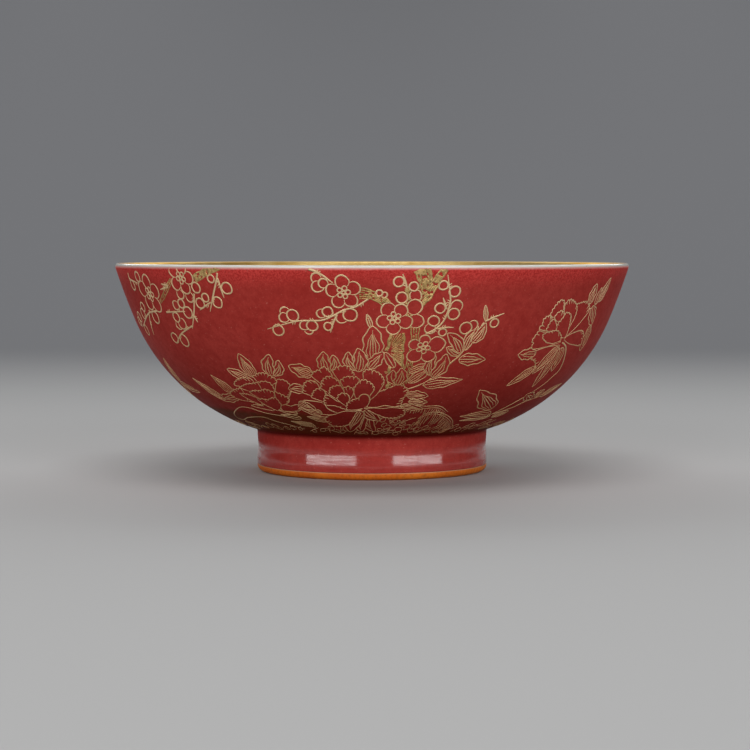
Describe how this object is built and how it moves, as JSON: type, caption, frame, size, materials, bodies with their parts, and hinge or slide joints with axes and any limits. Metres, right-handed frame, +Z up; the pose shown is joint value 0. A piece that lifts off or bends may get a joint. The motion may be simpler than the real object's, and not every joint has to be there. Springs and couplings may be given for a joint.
{
  "type": "footed porcelain bowl",
  "caption": "Round porcelain bowl on a foot ring, red glaze outside with gold flower painting, white lip line, gold band over the lip and a brown foot edge.",
  "frame": {"origin": "centre of the plane that the foot rests on", "axes": "+Z up the axis of the bowl; the pictured side faces -Y"},
  "size_m": [0.18, 0.18, 0.0732],
  "materials": {
    "porcelain": "bare fired porcelain",
    "white_glaze": "clear gloss",
    "red_glaze": "soft gloss with a fine ripple",
    "foot_dressing": "thin satin wash",
    "gold": "burnished fired gold"
  },
  "bodies": {
    "root": {"porcelain_body": "porcelain", "foot_ring": "porcelain", "white_glaze": "white_glaze", "red_glaze": "red_glaze", "base_glaze": "white_glaze", "foot_dressing": "foot_dressing", "gold_lip_band": "gold"}
  },
  "joints": []
}
